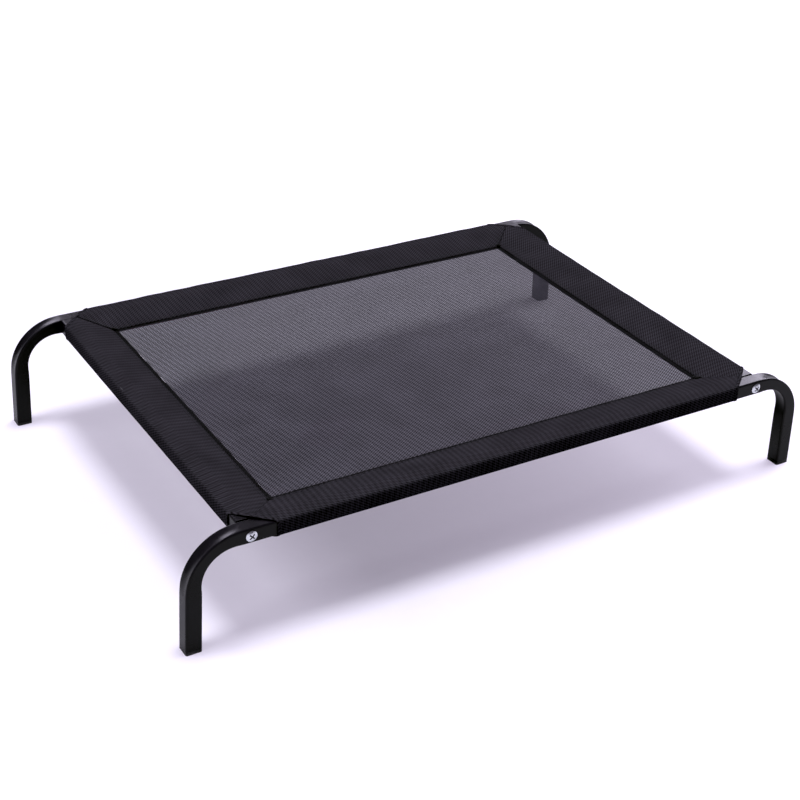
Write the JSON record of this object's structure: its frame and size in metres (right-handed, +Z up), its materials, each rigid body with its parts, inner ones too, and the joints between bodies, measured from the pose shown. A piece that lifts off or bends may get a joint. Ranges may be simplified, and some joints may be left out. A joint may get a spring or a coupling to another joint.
{
  "type": "dog bed with frame",
  "caption": "Raised rectangular pet bed: a stretched black mesh cover sleeved over a low bent square-tube steel frame that stands on splayed corner legs.",
  "frame": {"origin": "middle of the footprint, on the floor", "axes": "+X along the long side, -Y to the front, +Z up"},
  "size_m": [1.105, 0.7342, 0.1825],
  "materials": {
    "powder_coat": "semi-gloss black powder coat on steel tube",
    "zinc_plate": "bright zinc-plated steel",
    "insert_steel": "plain zinc-plated steel, hidden",
    "end_cap_plastic": "moulded black polyethylene, fine matt",
    "mesh_cloth": "open woven PVC-coated polyester mesh, single layer",
    "border_cloth": "the same woven mesh, two layers",
    "thread": "bonded polyester sewing thread"
  },
  "bodies": {
    "root": {"long_rail_front": "powder_coat", "long_rail_back": "powder_coat", "short_rail_left": "powder_coat", "short_rail_right": "powder_coat", "leg_front_left": "powder_coat", "leg_front_right": "powder_coat", "leg_back_left": "powder_coat", "leg_back_right": "powder_coat", "foot_front_left": "end_cap_plastic", "foot_front_right": "end_cap_plastic", "foot_back_left": "end_cap_plastic", "foot_back_right": "end_cap_plastic", "bolt_front_left": "zinc_plate", "bolt_front_right": "zinc_plate", "bolt_back_left": "zinc_plate", "bolt_back_right": "zinc_plate", "insert_front_left": "insert_steel", "insert_front_right": "insert_steel", "insert_back_left": "insert_steel", "insert_back_right": "insert_steel", "mesh_panel": "mesh_cloth", "sleeve_front": "border_cloth", "sleeve_back": "border_cloth", "sleeve_left": "border_cloth", "sleeve_right": "border_cloth", "corner_bartacks": "thread"}
  },
  "joints": []
}
